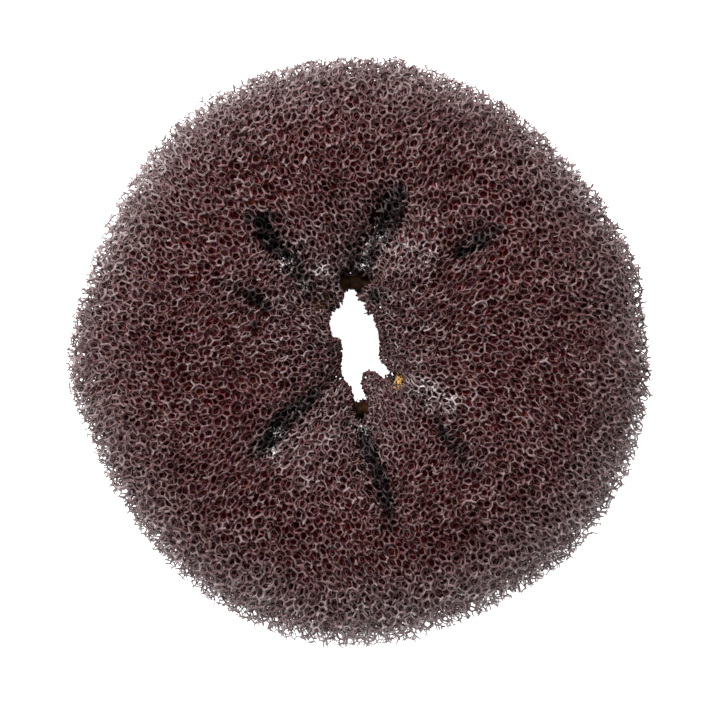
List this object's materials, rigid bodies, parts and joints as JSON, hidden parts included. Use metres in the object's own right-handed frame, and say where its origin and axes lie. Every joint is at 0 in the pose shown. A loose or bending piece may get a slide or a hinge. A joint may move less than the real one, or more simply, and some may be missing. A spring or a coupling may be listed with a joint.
{
  "type": "hair donut bun maker",
  "caption": "Plump ring of dark open-cell mesh foam, gathered into radial folds round a small oval hole by an elastic band.",
  "frame": {"origin": "middle of the ring's footprint, on the surface that it lies on", "axes": "+Z along the ring's axis, out of the side that shows the deep folds and the band; +X and +Y across the ring, the hole's long way about 8 degrees from +Y"},
  "size_m": [0.09, 0.0914, 0.036],
  "materials": {
    "foam": "open-cell mesh foam, dark red-brown, slightly shiny struts",
    "band": "clear amber elastic, slightly glossy"
  },
  "bodies": {
    "root": {"foam_ring": "foam", "gather_band": "band"}
  },
  "joints": []
}
